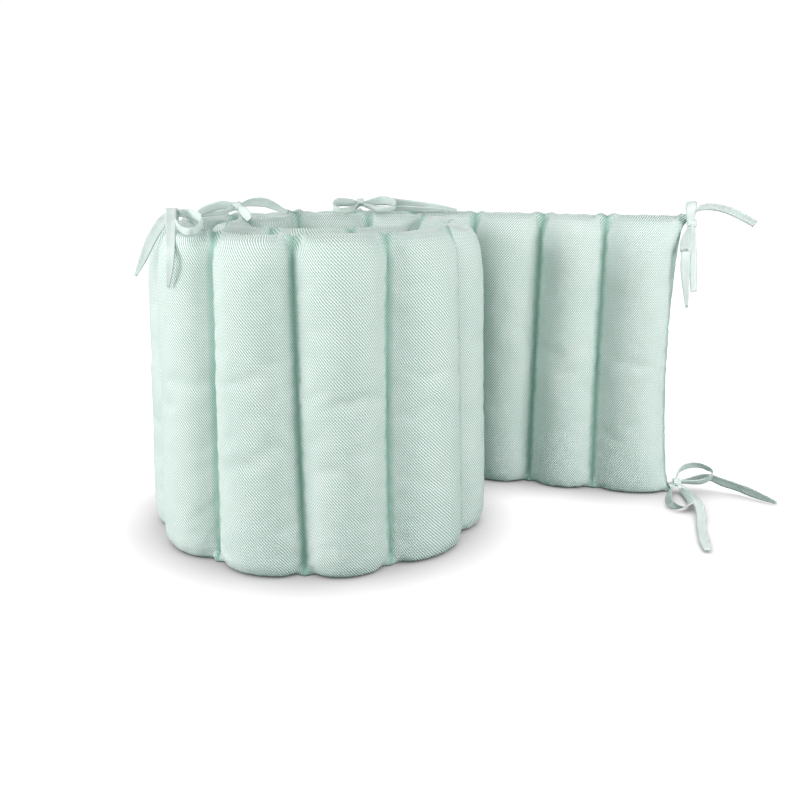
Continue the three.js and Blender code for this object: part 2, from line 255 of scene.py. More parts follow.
def spline_weights(cells: int, places: np.ndarray) -> np.ndarray:
    """Weights that read a smooth curve through evenly spaced values.

    Args:
        cells: The number of steps between the values, one less than their count.
        places: Where the curve is read, from 0 to 1.

    Returns:
        A matrix with a row for each place and a column for each value.
    """
    weights = np.zeros((len(places), cells + 1))
    for row, place in enumerate(places * cells):
        first = min(int(place), cells - 1)
        t = place - first
        basis = {
            first - 1: (-t + 2 * t**2 - t**3) / 2,
            first: (2 - 5 * t**2 + 3 * t**3) / 2,
            first + 1: (t + 4 * t**2 - 3 * t**3) / 2,
            first + 2: (-(t**2) + t**3) / 2,
        }
        for column, weight in basis.items():
            if column < 0:
                weights[row, 0] += 2 * weight
                weights[row, 1] -= weight
            elif column > cells:
                weights[row, cells] += 2 * weight
                weights[row, cells - 1] -= weight
            else:
                weights[row, column] += weight
    return weights


def crowded(count: int, crowding: float) -> np.ndarray:
    """Places from 0 to 1 that lie closer together near both ends.

    Args:
        count: The number of steps.
        crowding: 0 for even steps, 1 for steps that shrink to nothing at the ends.

    Returns:
        count + 1 places.
    """
    even = np.linspace(0, 1, count + 1)
    return (1 - crowding) * even + crowding * (1 - np.cos(np.pi * even)) / 2


# ---- The cloth of the pad ----------------------------------------------------------


class Side(Enum):
    """The two faces of the pad: the one outside the roll, and the one inside it."""

    OUTER = 1
    INNER = -1


@dataclass
class FilledStrip:
    """A straight length of the pad, blown up as cloth so that its skin wrinkles.

    It lies along X, with its seams upright and its outer face towards +Y.
    """

    channels: int = 10
    columns: int = 18
    rows: int = 64
    pitch: float = 0.075
    half_thickness: float = 0.0252
    squareness: float = 2.0
    wall_steepness: float = 0.62
    height: float = PAD_HEIGHT
    hem_roundness: float = 12.0
    seam_drop: float = 0.003
    crown_bow: float = 0.001
    spare_cloth: float = 0.011
    spare_at_seams: float = 0.12
    corner_reach: float = 0.030
    seam_reach: float = 0.010
    seam_looseness: float = 0.16
    unevenness: float = 0.0002
    free_seam_end: float = 0.012
    pressure: float = 8.0
    frames: int = 28
    seed: int = 11

    def rest_grid(self, side: Side) -> np.ndarray:
        """The strip's plain filled shape, before the cloth moves.

        Args:
            side: Which face of the strip.

        Returns:
            Points with axes of column, row and coordinate.
        """
        column = np.arange(self.channels * self.columns + 1)
        channel = np.minimum(column // self.columns, self.channels - 1)
        share = (column - channel * self.columns) / self.columns
        across = (share + (1 - np.cos(np.pi * share)) / 2) / 2
        crown = (1 - np.abs(2 * across - 1) ** self.squareness).clip(0) ** self.wall_steepness
        row = np.linspace(-1, 1, self.rows + 1)
        taper = (1 - np.abs(row) ** self.hem_roundness).clip(0) ** 0.5
        x = ((channel + across) * self.pitch)[:, None] + 0 * row[None, :]
        y = side.value * self.half_thickness * crown[:, None] * taper[None, :]
        reach = self.height / 2 - self.seam_drop + self.crown_bow * crown
        reach = reach + (self.seam_drop - self.crown_bow) * crown**0.5
        z = reach[:, None] * row[None, :]
        return np.stack([x, y, z], axis=-1)

    def looseness(self, x: float, z: float) -> float:
        """How much spare cloth there is at a place, from 0 to 1.

        Args:
            x: The place along the strip.
            z: The place up the strip, from its middle.

        Returns:
            1 in the corners by the seams' ends, less along a seam, 0 elsewhere.
        """
        from_seam = abs(x / self.pitch - round(x / self.pitch)) * self.pitch
        from_hem = self.height / 2 - abs(z)
        off = (from_hem / self.corner_reach) ** 2 + (from_seam / self.corner_reach) ** 2
        corner = math.exp(-off)
        seam = self.seam_looseness * math.exp(-((from_seam / self.seam_reach) ** 2))
        return min(1.0, corner + seam)

    def numbering(self) -> dict[Side, np.ndarray]:
        """Vertex numbers by face, column and row; sewn places share one vertex."""
        columns = self.channels * self.columns + 1
        outer = np.arange(columns * (self.rows + 1)).reshape(columns, self.rows + 1)
        inner = outer.copy()
        free = np.ones(inner.shape, bool)
        free[:: self.columns, :] = False
        free[:, 0] = False
        free[:, -1] = False
        inner[free] = outer.size + np.arange(free.sum())
        return {Side.OUTER: outer, Side.INNER: inner}

    def blown_up(self) -> dict[Side, np.ndarray]:
        """Blows the strip up as cloth and reads its skin back.

        Returns:
            The points of each face, with axes of column, row and coordinate.
        """
        rest = {side: self.rest_grid(side) for side in Side}
        numbers = self.numbering()
        points = np.zeros((max(grid.max() for grid in numbers.values()) + 1, 3))
        for side in (Side.INNER, Side.OUTER):
            points[numbers[side].ravel()] = rest[side].reshape(-1, 3)
        faces = []
        for side, grid in numbers.items():
            corners = (grid[:-1, :-1], grid[1:, :-1], grid[1:, 1:], grid[:-1, 1:])
            turned = corners[::-1] if side is Side.OUTER else corners
            faces += list(zip(*(corner.ravel().tolist() for corner in turned)))
        uneven = np.random.default_rng(self.seed).normal(0, self.unevenness, points.shape)
        strip = new_object("strip_being_filled", points + uneven, faces)
        self.add_cloth(strip, numbers[Side.OUTER], points)
        for step in range(1, self.frames + 1):
            bpy.context.scene.frame_set(step)
        seen = strip.evaluated_get(bpy.context.evaluated_depsgraph_get())
        moved = np.empty(len(points) * 3, np.float32)
        seen.data.vertices.foreach_get("co", moved)
        moved = moved.reshape(-1, 3).astype(float)
        bpy.data.objects.remove(strip)
        bpy.context.scene.frame_set(1)
        return {side: moved[grid] for side, grid in numbers.items()}

    def add_cloth(self, strip: bpy.types.Object, grid: np.ndarray, points: np.ndarray) -> None:
        """Gives the strip its cloth settings, its sewn seams and its spare cloth.

        Args:
            strip: The strip's mesh object.
            grid: The vertex numbers of its outer face.
            points: The strip's vertices.
        """
        sewn = grid[:: self.columns, :].ravel()
        held = [int(n) for n in sewn if self.height / 2 - abs(points[n, 2]) > self.free_seam_end]
        strip.vertex_groups.new(name="sewn").add(held, 1.0, "REPLACE")
        loose = strip.vertex_groups.new(name="loose")
        for number, (x, _, z) in enumerate(points):
            loose.add([number], self.looseness(x, z), "REPLACE")
        cloth = strip.modifiers.new("Cloth", "CLOTH")
        settings = cloth.settings
        settings.vertex_group_mass = "sewn"
        settings.vertex_group_shrink = "loose"
        settings.shrink_min = -self.spare_cloth
        settings.shrink_max = -self.spare_at_seams
        settings.quality = 6
        settings.mass = 0.15
        settings.tension_stiffness = 15.0
        settings.compression_stiffness = 5.0
        settings.shear_stiffness = 5.0
        settings.bending_stiffness = 0.5
        settings.use_pressure = True
        settings.uniform_pressure_force = self.pressure
        settings.effector_weights.gravity = 0.0
        cloth.collision_settings.use_collision = False
        cloth.point_cache.frame_start = 1
        cloth.point_cache.frame_end = self.frames + 2


@dataclass
class QuiltedPad:
    """The whole pad: the strip's skin laid along the wound line."""

    line: WoundLine
    strip: FilledStrip = field(default_factory=FilledStrip)
    name: str = "quilted_pad"
    columns: int = 26
    rows: int = 84
    crowding_across: float = 0.45
    crowding_up: float = 0.55
    seam_half: float = 0.0012
    fullness: float = 1.28
    cut_height: float = 0.330
    turn_back_high: int = 8
    turn_back_low: int = 2
    most_move: float = 0.005
    swelling_undone: float = 0.8
    tuck_fold: int = 3
    seam_depth_left: float = 0.0060
    seam_fill_reach: float = 0.008
    tuck_length: tuple[float, float] = (0.015, 0.024)
    tuck_width: tuple[float, float] = (0.0070, 0.0080)
    tuck_reach: tuple[float, float] = (0.018, 0.018)
    tuck_lip: tuple[float, float] = (0.0, 0.0026)
    tuck_ridge: tuple[float, float] = (0.0065, 0.0050)
    tuck_floor: tuple[float, float] = (0.0105, 0.0035)
    tuck_unevenness: float = 0.25
    lip_wide: float = 0.0045
    tuck_rise_share: float = 0.5
    tuck_rise_power: float = 0.6
    foot_squareness: float = 26.0
    most_squared: float = 2.0
    foot_sink: float = 0.0035
    foot_sink_fade: float = 4.0
    foot_softness: float = 0.0015
    end_drawn_in: float = 0.0065
    end_tightness: float = 16.0
    end_seam_tightness: float = 24.0
    end_face_tightness: float = 60.0

    def strip_channel(self, channel: int) -> tuple[int, bool]:
        """Which channel of the strip a channel of the pad is cut from.

        The pad is longer than the strip, so it runs up the strip, back down it and up
        again; both runs share the seam at which they turn.

        Args:
            channel: The pad's channel, from the tail end.

        Returns:
            The strip's channel, and whether it is laid the other way round.
        """
        back = self.turn_back_high - self.turn_back_low
        if channel < self.turn_back_high:
            return channel, False
        if channel < self.turn_back_high + back:
            return 2 * self.turn_back_high - 1 - channel, True
        return channel - 2 * back, False

    def local_skin(self, skin: dict[Side, np.ndarray], side: Side) -> np.ndarray:
        """The skin of every channel, before it is wound.

        Args:
            skin: The strip's faces.
            side: Which face of the pad.

        Returns:
            Points with axes of channel, column, row and coordinate. X is in channels
            from the tail end, Y and Z in metres, Z from the middle of the height.
        """
        strip = self.strip
        across = spline_weights(strip.columns, crowded(self.columns, self.crowding_across))
        up = spline_weights(strip.rows, crowded(self.rows, self.crowding_up))
        plain = strip.rest_grid(side)
        move = skin[side] - plain
        each = move[:-1, :, 1].reshape(strip.channels, strip.columns, -1)
        swelling = np.tile(each.mean(axis=(0, 2)), strip.channels)
        move[:-1, :, 1] -= swelling[:, None] * self.swelling_undone
        length = np.linalg.norm(move, axis=-1, keepdims=True)
        move = move * (self.most_move * np.tanh(length / self.most_move) / (length + TINY))
        whole = plain + move
        channels = []
        for channel in range(CHANNELS):
            source, turned = self.strip_channel(channel)
            first = source * strip.columns
            piece = whole[first : first + strip.columns + 1].copy()
            piece[..., 0] = piece[..., 0] / strip.pitch - source
            if turned:
                piece = piece[::-1]
                piece[..., 0] = 1 - piece[..., 0]
            piece = np.einsum("ac,crk,br->abk", across, piece, up)
            self.fill_seams(piece)
            self.tuck_ends(piece, channel)
            piece[..., 0] = piece[..., 0] + channel
            piece[..., 1] *= SEAMS[channel].fill * MM / strip.half_thickness
            channels.append(piece)
        return np.array(channels)

    def hem_taper(self, up: np.ndarray) -> np.ndarray:
        """How full the pad is at each height from its middle: 1, falling to 0 at a hem."""
        rise = np.abs(2 * up / PAD_HEIGHT).clip(0, 1)
        return (1 - rise**self.strip.hem_roundness).clip(0) ** 0.5

    def fill_seams(self, piece: np.ndarray) -> None:
        """Lifts the bottom of the groove at each seam, away from the hems.

        Args:
            piece: One channel's points, by column and row, which are changed. X runs
                from 0 to 1 over the channel.
        """
        offset = np.minimum(piece[..., 0], 1 - piece[..., 0]) * self.strip.pitch
        near = np.exp(-((offset / self.seam_fill_reach).clip(0) ** 2))
        lift = self.seam_depth_left * self.hem_taper(piece[..., 2]) * near
        signs = np.where(piece[..., 1].mean() < 0, -1, 1)
        piece[..., 1] = signs * np.hypot(piece[..., 1], lift)

    def tuck_ends(self, piece: np.ndarray, channel: int) -> None:
        """Folds the cloth into a small gusset where each seam meets the hem.

        The seam parts in two creases there, with a low ridge between them.

        Args:
            piece: One channel's points, by column and row, which are changed. X runs
                from 0 to 1 over the channel.
            channel: The channel's number, which makes each tuck a little different.
        """
        pitch = self.strip.pitch
        from_hem = self.strip.height / 2 - np.abs(piece[..., 2])
        fold = self.tuck_fold
        least, most = 1 - self.tuck_unevenness, 1 + self.tuck_unevenness
        for turn, near in ((1, piece), (-1, piece[::-1])):
            seam = channel + (turn < 0)
            for end, rows in ((0, piece[0, :, 2] < 0), (1, piece[0, :, 2] > 0)):
                uneven = np.random.default_rng([seam, end, turn + 1]).uniform(least, most, 3)
                depth = (from_hem if turn > 0 else from_hem[::-1])[:, rows]
                share = (1 - depth / (self.tuck_length[end] * uneven[0])).clip(0, 1)
                share = share * share * (3 - 2 * share)
                offset = near[:, rows, 0] if turn > 0 else 1 - near[:, rows, 0]
                offset = offset * pitch
                crease = offset[fold]
                width = self.tuck_width[end] * uneven[1]
                inside = offset / np.maximum(crease, 1e-6)
                reach = self.tuck_reach[end]
                beyond = (1 - (offset - crease) / (reach - crease)).clip(0, 1)
                move = share * (width - crease) * np.where(inside < 1, inside, beyond)
                near[:, rows, 0] += turn * move / pitch
                lip = np.exp(-(((offset - crease) / self.lip_wide) ** 2))
                lip = self.tuck_lip[end] * uneven[2] * lip
                near[:, rows, 2] += share * lip * (2 * end - 1)
                rise = 1 - 2 * depth / self.strip.height
                edge = (1 - rise**self.strip.hem_roundness).clip(0) ** 0.5
                floor = self.tuck_floor[end] * edge
                ridge = self.tuck_ridge[end] * uneven[2] * (1 - inside).clip(0, 1) * edge
                rise = ((offset - crease) / (reach * self.tuck_rise_share)).clip(0, 1)
                rise = rise**self.tuck_rise_power
                high = np.abs(near[:, rows, 1])
                outside = floor + (high - floor).clip(0) * rise
                shaped = np.where(inside < 1, floor + ridge, outside)
                signs = np.where(near[:, rows, 1] < 0, -1, 1)
                near[:, rows, 1] = signs * (high * (1 - share) + shaped * share)

    def wound(self, local: np.ndarray, side: Side) -> np.ndarray:
        """Lays skin points along the wound line and stands them on the floor.

        Args:
            local: Points from local_skin, with the last axis of coordinate.
            side: Which face of the pad.

        Returns:
            The points in the frame of the solids.
        """
        place, outward, up = local[..., 0], local[..., 1], local[..., 2]
        height = up + PAD_HEIGHT / 2
        rise = np.abs(2 * up / PAD_HEIGHT).clip(0, 1)
        squarer = (1 - rise**self.foot_squareness).clip(TINY)
        squarer = squarer / (1 - rise**self.strip.hem_roundness).clip(TINY)
        outward = outward * np.where(up < 0, squarer.clip(1, self.most_squared) ** 0.5, 1.0)
        from_end = np.minimum(place, CHANNELS - place).clip(0, 1)
        taper = self.hem_taper(up) * (1 - (1 - from_end) ** self.end_seam_tightness)
        outward = outward * (1 - (1 - from_end) ** self.end_face_tightness)
        outward = outward + side.value * self.seam_half * taper
        hollow = 1 - rise**self.end_tightness
        start = (1 - place).clip(0, 1) ** 2
        finish = (place - (CHANNELS - 1)).clip(0, 1) ** 2
        draw = self.end_drawn_in * hollow * (start - finish)
        sink = self.foot_sink * (1 - height / PAD_HEIGHT).clip(0, 1) ** self.foot_sink_fade
        lowered = height - sink
        soft = self.foot_softness
        floored = np.where(lowered > soft, lowered, soft * np.exp((lowered - soft) / soft))
        floored = np.maximum(floored, 0.0)
        strayed = self.line.strayed(place, height)
        point, along, out = self.line.at(strayed.clip(0, CHANNELS))
        past = (strayed - strayed.clip(0, CHANNELS)) * self.strip.pitch
        outward = outward + self.line.lean_out(place, height)
        plan = point + out * outward[..., None] + along * (draw + past)[..., None]
        return np.concatenate([plan, floored[..., None]], axis=-1)

    def build(self) -> bpy.types.Object:
        """Builds the pad's mesh, with the flat cloth's places as its UV map.

        Returns:
            The pad, as one closed mesh object.
        """
        skin = self.strip.blown_up()
        columns = CHANNELS * self.columns + 1
        grids, points = {}, []
        for side in Side:
            local = self.local_skin(skin, side)
            joined = np.empty((columns, self.rows + 1, 3))
            for channel in range(CHANNELS):
                first = channel * self.columns
                joined[first : first + self.columns + 1] = local[channel]
            grids[side] = self.wound(joined, side)
            points.append(grids[side].reshape(-1, 3))
        outer = np.arange(columns * (self.rows + 1)).reshape(columns, -1)
        inner = outer + outer.size
        for edge in (np.s_[:, 0], np.s_[:, -1], np.s_[0, :], np.s_[-1, :]):
            inner[edge] = outer[edge]
        faces = []
        for grid, turned in ((outer, False), (inner, True)):
            corners = (grid[:-1, :-1], grid[1:, :-1], grid[1:, 1:], grid[:-1, 1:])
            corners = corners[::-1] if turned else corners
            faces += list(zip(*(corner.ravel().tolist() for corner in corners)))
        pad = new_object(self.name, np.vstack(points), faces)
        self.add_uv(pad, faces, outer.size)
        self.mark_seams(pad, outer, inner)
        make_active(pad)
        bpy.ops.object.mode_set(mode="EDIT")
        bpy.ops.mesh.select_all(action="SELECT")
        bpy.ops.mesh.delete_loose()
        bpy.ops.object.mode_set(mode="OBJECT")
        return pad

    def add_uv(self, pad: bpy.types.Object, faces: list[tuple], per_side: int) -> None:
        """Writes each corner's place on the flat cloth, in metres, as the UV map.

        Args:
            pad: The pad's object.
            faces: Its faces, in the mesh's order.
            per_side: The number of vertices of one face of the pad.
        """
        across = crowded(self.columns, self.crowding_across)
        flat_up = crowded(self.rows, self.crowding_up) * self.cut_height
        column = np.arange(CHANNELS * self.columns + 1)
        sewn = np.linalg.norm(np.diff(self.line.knots[1:-1], axis=0), axis=1) * self.fullness
        starts = np.concatenate([[0.0], np.cumsum(sewn)])
        place = column // self.columns + across[column % self.columns]
        flat_across = np.interp(place, np.arange(CHANNELS + 1), starts)
        nearest = np.abs(flat_across[:, None] - starts[None, :]).min(axis=1)
        # The distance to the nearest seam, which sets where the cloth material paints shade.
        mark = pad.data.attributes.new("from_seam", "FLOAT", "POINT")
        both = np.repeat(nearest, self.rows + 1)
        mark.data.foreach_set("value", np.tile(both, 2).astype(np.float32))
        uv = pad.data.uv_layers.new(name="flat_cloth")
        loops = np.array(faces).ravel() % per_side
        rows = self.rows + 1
        values = np.stack([flat_across[loops // rows], flat_up[loops % rows]], axis=-1)
        uv.data.foreach_set("uv", values.astype(np.float32).ravel())

    def mark_seams(self, pad: bpy.types.Object, outer: np.ndarray, inner: np.ndarray) -> None:
        """Marks the sewn seams and the hem as sharp, so that they shade as creases.

        Args:
            pad: The pad's object.
            outer: Vertex numbers of the outer face, by column and row.
            inner: Vertex numbers of the inner face.
        """
        line_of = np.full(len(pad.data.vertices), -1)
        for seam in range(0, CHANNELS + 1):
            line_of[outer[seam * self.columns]] = 2 * seam
            line_of[inner[seam * self.columns]] = 2 * seam + 1
        line_of[outer[0]] = line_of[outer[-1]] = 2 * CHANNELS + 3
        ends = np.empty(len(pad.data.edges) * 2, int)
        pad.data.edges.foreach_get("vertices", ends)
        ends = ends.reshape(-1, 2)
        sharp = (line_of[ends[:, 0]] >= 0) & (line_of[ends[:, 0]] == line_of[ends[:, 1]])
        mark = pad.data.attributes.get("sharp_edge")
        mark = mark or pad.data.attributes.new("sharp_edge", "BOOLEAN", "EDGE")
        mark.data.foreach_set("value", sharp)


# ---- The ribbon ties ---------------------------------------------------------------


@dataclass(frozen=True)
class Length:
    """One length of ribbon in a bow.

    "across" is the way the ribbon's width points before it follows its length. Each
    row is (x, y, up, wide) in millimetres from the point where the tie is sewn on.
    """

    across: tuple[float, float, float]
    rows: tuple[tuple[float, float, float, float], ...]


@dataclass(frozen=True)
class TieTable:
    """Where one tie is sewn to the pad, its knot, and its lengths of ribbon."""

    name: str
    seam: int
    edge: float
    knot: tuple[float, float, float]
    lengths: tuple[Length, ...]


# The least mean width that flat_size gives for a ribbon.
LEAST_SHEET_WIDTH = 0.0101
# Each row of a length is (x, y, up, wide), in millimetres.
TIES = (
    TieTable(
        "tie_left",
        seam=9,
        edge=PAD_HEIGHT,
        knot=(-0.5, -3, 11),
        lengths=(
            Length(
                (-0.94, -0.34, 0),
                ((0, 0, -7.3, 2), (-0.5, -1, 1, 7), (-0.5, -3, 11, 7)),
            ),
            Length(
                (0.85, -0.1, -0.5),
                ((-2, -2, 11, 6), (-8, -3, 7, 9), (-13.5, -6, 1, 10), (-22.5, -10, -14, 10),
                 (-28.5, -14, -28, 8), (-36.5, -17, -45, 3)),
            ),
            Length(
                (1, -0.2, 0),
                ((-1.5, -4, 11, 6), (-1, -12, 16, 10), (1.5, -26, 9, 10), (5.5, -49, -5, 9),
                 (8.5, -67, -20, 8), (7.5, -70, -33, 7), (4.5, -67, -48, 3)),
            ),
            Length(
                (0, -0.35, 0.93),
                ((1.5, -4, 11, 6), (10.5, -8, 11, 9), (24.5, -26, 10, 10), (34.5, -54, 6.5, 9),
                 (32.5, -78, 1.5, 8), (22.5, -73, 1, 8), (9.5, -40, 4, 8), (1.5, -8, 11, 6)),
            ),
        ),
    ),
    TieTable(
        "tie_inner",
        seam=18,
        edge=PAD_HEIGHT,
        knot=(-8, 1.5, 11),
        lengths=(
            Length(
                (-0.86, 0.5, 0),
                ((0, 0, -7.1, 2), (-2.5, 0.5, 1, 4), (-8, 1.5, 10, 6)),
            ),
            Length(
                (0, -0.5, 0.87),
                ((-8, 1.5, 11, 5), (-22.5, -4.5, 12, 10), (-35.5, -9.5, 9, 10),
                 (-43.5, -12.5, 5, 8), (-36.5, -5.5, 4, 6), (-23.5, -1.5, 5, 6),
                 (-8, 0.5, 10, 5)),
            ),
            Length(
                (0, -0.5, 0.87),
                ((-6.5, 3.5, 11, 5), (3.5, 13.5, 14, 9), (16.5, 25.5, 13, 10), (28.5, 35.5, 7, 8),
                 (38.5, 33.5, 3, 5)),
            ),
            Length(
                (0.8, -0.1, 0.6),
                ((-6, -0.5, 10, 5), (1.5, -12.5, 6, 9), (7.5, -22.5, 0, 7)),
            ),
        ),
    ),
    TieTable(
        "tie_back",
        seam=5,
        edge=PAD_HEIGHT,
        knot=(8, 1, 8),
        lengths=(
            Length(
                (0.1, 1, 0),
                ((0, 0, -7, 1.6), (1, 0, -2, 3), (8, 1, 8, 6)),
            ),
            Length(
                (0, -0.5, 0.87),
                ((7, 1, 6, 5), (-3.5, -4, 8, 9), (-16, -17, 9, 10), (-20, -37, 6, 9),
                 (-11, -53, 3.5, 7), (0.5, -42, 4, 7), (7, -3, 6, 5)),
            ),
            Length(
                (0, -0.5, 0.87),
                ((10, 1, 6, 5), (21, -1, 9, 9), (35, -7, 11, 11), (47, -22, 8, 9),
                 (42, -42, 4, 7), (28, -47, 4, 7), (11, -5, 6, 5)),
            ),
            Length(
                (0, -0.5, 0.87),
                ((11, 3, 6, 5), (35, 1, 9, 9), (57, -11, 8, 10), (79, -23, 6, 10),
                 (98, -29, 4, 8), (113, -31, 2, 4)),
            ),
            Length(
                (0, -0.7, 0.7),
                ((11, -3, 6, 5), (35, -23, 3, 7), (57, -31, 4, 8), (79, -37, 3, 8),
                 (100, -41, 3, 5)),
            ),
        ),
    ),
    TieTable(
        "tie_end_top",
        seam=0,
        edge=PAD_HEIGHT,
        knot=(1.5, -5, -8),
        lengths=(
            Length(
                (0, 1, 0),
                ((-3.5, 0, -8.5, 2.5), (1, -1, -9, 5), (1.5, -5, -9, 7)),
            ),
            Length(
                (1, 0, 0.1),
                ((-1, -8, -10, 6), (-2, -11, 7, 11), (-0.5, -4, 14, 11), (2, 3, 6, 11),
                 (1, 0, -7, 6)),
            ),
            Length(
                (0.7, -0.5, 0.3),
                ((0, -6, -10, 6), (-7, -16, -22, 9), (-9, -21, -32, 9), (-3.5, -13, -34, 9),
                 (1, -6, -11, 6)),
            ),
            Length(
                (0.1, -0.45, 0.9),
                ((2, -4, -6, 5), (7, 0, 5, 6), (16, 0, 9, 8), (31, -1, 8, 9), (48, -3, 2, 9),
                 (67, -6, -8, 9)),
            ),
            Length(
                (1, -0.2, 0),
                ((0, -6, -10, 6), (-6, -18, -34, 9), (-6, -20, -56, 9), (-1, -18, -93, 3)),
            ),
            Length(
                (1, 0.1, 0),
                ((2, -5, -10, 6), (5, -6, -37, 7), (6, -7, -58, 8), (8, -8, -78, 7)),
            ),
        ),
    ),
    TieTable(
        "tie_end_foot",
        seam=0,
        edge=0.0,
        knot=(5, -7, 11),
        lengths=(
            Length(
                (0, 1, 0),
                ((-2.3, 0, 7, 2.5), (1, -1, 8, 5), (5, -7, 11, 8)),
            ),
            Length(
                (-0.3, -0.6, 0.74),
                ((4, -7, 13.5, 6), (8, -7, 25, 10), (18, -8, 31, 11), (31, -9, 30.5, 11),
                 (41, -11, 25, 11), (40, -12, 17.5, 11), (30, -11, 12.5, 10), (16, -10, 12, 9),
                 (5, -8, 11.5, 6)),
            ),
            Length(
                (0.2, -0.5, 0.85),
                ((7, -5, 10.5, 5), (24, 1, 12, 9), (41, -1, 15, 10), (55, -8, 11.5, 11),
                 (72, -18, 8, 11), (88, -35, 5, 9), (101, -49, 2.5, 4)),
            ),
            Length(
                (0.5, -0.6, 0.5),
                ((3, -10, 10, 6), (-6, -22, 3.5, 7), (-15, -59, 6, 8), (-4, -68, 5, 9),
                 (8, -53, 6, 9), (8, -16, 6, 6)),
            ),
            Length(
                (0.9, 0.4, 0.1),
                ((6, -11, 9, 6), (14, -23, 4, 9), (12, -64, 8, 10), (9, -88, 5, 10),
                 (2, -112, 3, 9), (-6, -151, 3, 10), (-10, -175, 3, 7)),
            ),
        ),
    ),
)


@dataclass
class RibbonTie:
    """One ribbon tie, knotted into a bow, as a single sewn-on piece."""

    table: TieTable
    line: WoundLine
    thickness: float = 0.0009
    steps: int = 10
    strips: int = 8
    edge_squareness: int = 6
    cupping: float = 0.10
    cup_level: float = 0.4
    waving: float = 0.05
    wave_turn: float = 210.0
    wave_shift: float = 90.0
    knot_radius: float = 0.0036
    knot_wide: float = 0.0062
    knot_turns: float = 1.5
    knot_steps: int = 13
    knot_loosening: float = 0.06
    knot_slant: float = 0.0012
    knot_across: tuple[float, float, float] = (1.0, 0.15, 0.1)
    map_step: float = 0.137

    def flat_size(self) -> tuple[float, float]:
        """The ribbon's mean width, but no less than LEAST_SHEET_WIDTH, and its length."""
        whole, area = 0.0, 0.0
        for length in self.table.lengths:
            rows = np.array(length.rows) * MM
            steps = np.linalg.norm(np.diff(rows[:, :3], axis=0), axis=1)
            whole += steps.sum()
            area += (steps * (rows[1:, 3] + rows[:-1, 3]) / 2).sum()
        return max(area / whole, LEAST_SHEET_WIDTH), whole

    def band(self, rows: np.ndarray, across: np.ndarray, start: float) -> tuple:
        """A closed band of ribbon through its rows.

        Args:
            rows: Rows of x, y, up and wide, in metres, in the frame of the solids.
            across: The way that the ribbon's width points.
            start: How far along the ribbon this length starts, for its UV map.

        Returns:
            The points, the faces, and each point's place on the ribbon.
        """
        places = np.linspace(0, 1, (len(rows) - 1) * self.steps + 1)
        path = spline_weights(len(rows) - 1, places) @ rows
        centre, wide = path[:, :3], path[:, 3]
        tangent = np.gradient(centre, axis=0)
        tangent /= np.linalg.norm(tangent, axis=1, keepdims=True)
        side = across - tangent * (tangent @ across)[:, None]
        side /= np.linalg.norm(side, axis=1, keepdims=True)
        face = np.cross(tangent, side)
        u = np.linspace(-1, 1, self.strips + 1)
        top = self.thickness / 2 * (1 - u**self.edge_squareness) ** 0.5
        ring_u = np.concatenate([u, u[-2:0:-1]])
        ring_v = np.concatenate([top, -top[-2:0:-1]])
        cup = self.cupping * (ring_u**2 - self.cup_level)
        steps = np.linalg.norm(np.diff(centre, axis=0), axis=1)
        along = np.concatenate([[0], np.cumsum(steps)])
        wave = self.waving * np.sin(along * self.wave_turn + start * self.wave_shift)
        across_ring = ring_u[None, :] * wide[:, None] / 2
        bent = (cup[None, :] + wave[:, None] * ring_u[None, :]) * wide[:, None] / 2
        points = (
            centre[:, None, :]
            + side[:, None, :] * across_ring[..., None]
            + face[:, None, :] * ring_v[None, :, None]
            + face[:, None, :] * bent[..., None]
        )
        count = len(ring_u)
        grid = np.arange(points.shape[0] * count).reshape(-1, count)
        faces = []
        for n in range(points.shape[0] - 1):
            for k in range(count):
                m = (k + 1) % count
                faces.append((grid[n, k], grid[n, m], grid[n + 1, m], grid[n + 1, k]))
        faces.append(tuple(grid[0][::-1]))
        faces.append(tuple(grid[-1]))
        spots = np.stack(np.broadcast_arrays(across_ring, (along + start)[:, None]), -1)
        return points.reshape(-1, 3), faces, spots.reshape(-1, 2)

    def knot_rows(self, centre: np.ndarray) -> tuple[np.ndarray, np.ndarray]:
        """The ribbon that is wrapped round the knot, as one turn and a half.

        Args:
            centre: The middle of the knot.

        Returns:
            The wrap's rows, and the way its width points.
        """
        turn = np.linspace(0, 2 * np.pi * self.knot_turns, self.knot_steps)
        radius = self.knot_radius * (1 + self.knot_loosening * turn / np.pi)
        rows = np.stack(
            [
                centre[0] + self.knot_slant * np.sin(turn / 2),
                centre[1] + radius * np.cos(turn),
                centre[2] + radius * np.sin(turn),
                np.full_like(turn, self.knot_wide),
            ],
            axis=-1,
        )
        return rows, np.array(self.knot_across)

    def build(self) -> bpy.types.Object:
        """Builds the tie's mesh.

        Returns:
            The tie, as one mesh object with a "ribbon" UV map.
        """
        table = self.table
        sewn = np.array(self.line.hem_point(table.seam, table.edge))
        parts, start = [], 0.0
        for length in table.lengths:
            rows = np.array(length.rows) * MM
            rows[:, :3] += sewn
            parts.append(self.band(rows, np.array(length.across, float), start))
            start += self.map_step
        knot = sewn + np.array(table.knot) * MM
        rows, across = self.knot_rows(knot)
        parts.append(self.band(rows, across, start))
        points, faces, spots, count = [], [], [], 0
        for part_points, part_faces, part_spots in parts:
            points.append(part_points)
            spots.append(part_spots)
            faces += [tuple(int(n) + count for n in face) for face in part_faces]
            count += len(part_points)
        tie = new_object("ribbon_" + table.name, np.vstack(points), faces)
        make_active(tie)
        bpy.ops.object.mode_set(mode="EDIT")
        bpy.ops.mesh.select_all(action="SELECT")
        bpy.ops.mesh.normals_make_consistent(inside=False)
        bpy.ops.object.mode_set(mode="OBJECT")
        spots = np.vstack(spots)
        corner = np.empty(len(tie.data.loops), int)
        tie.data.loops.foreach_get("vertex_index", corner)
        uv = tie.data.uv_layers.new(name="ribbon")
        uv.data.foreach_set("uv", spots[corner].astype(np.float32).ravel())
        return tie


# ---- Finishes ----------------------------------------------------------------------


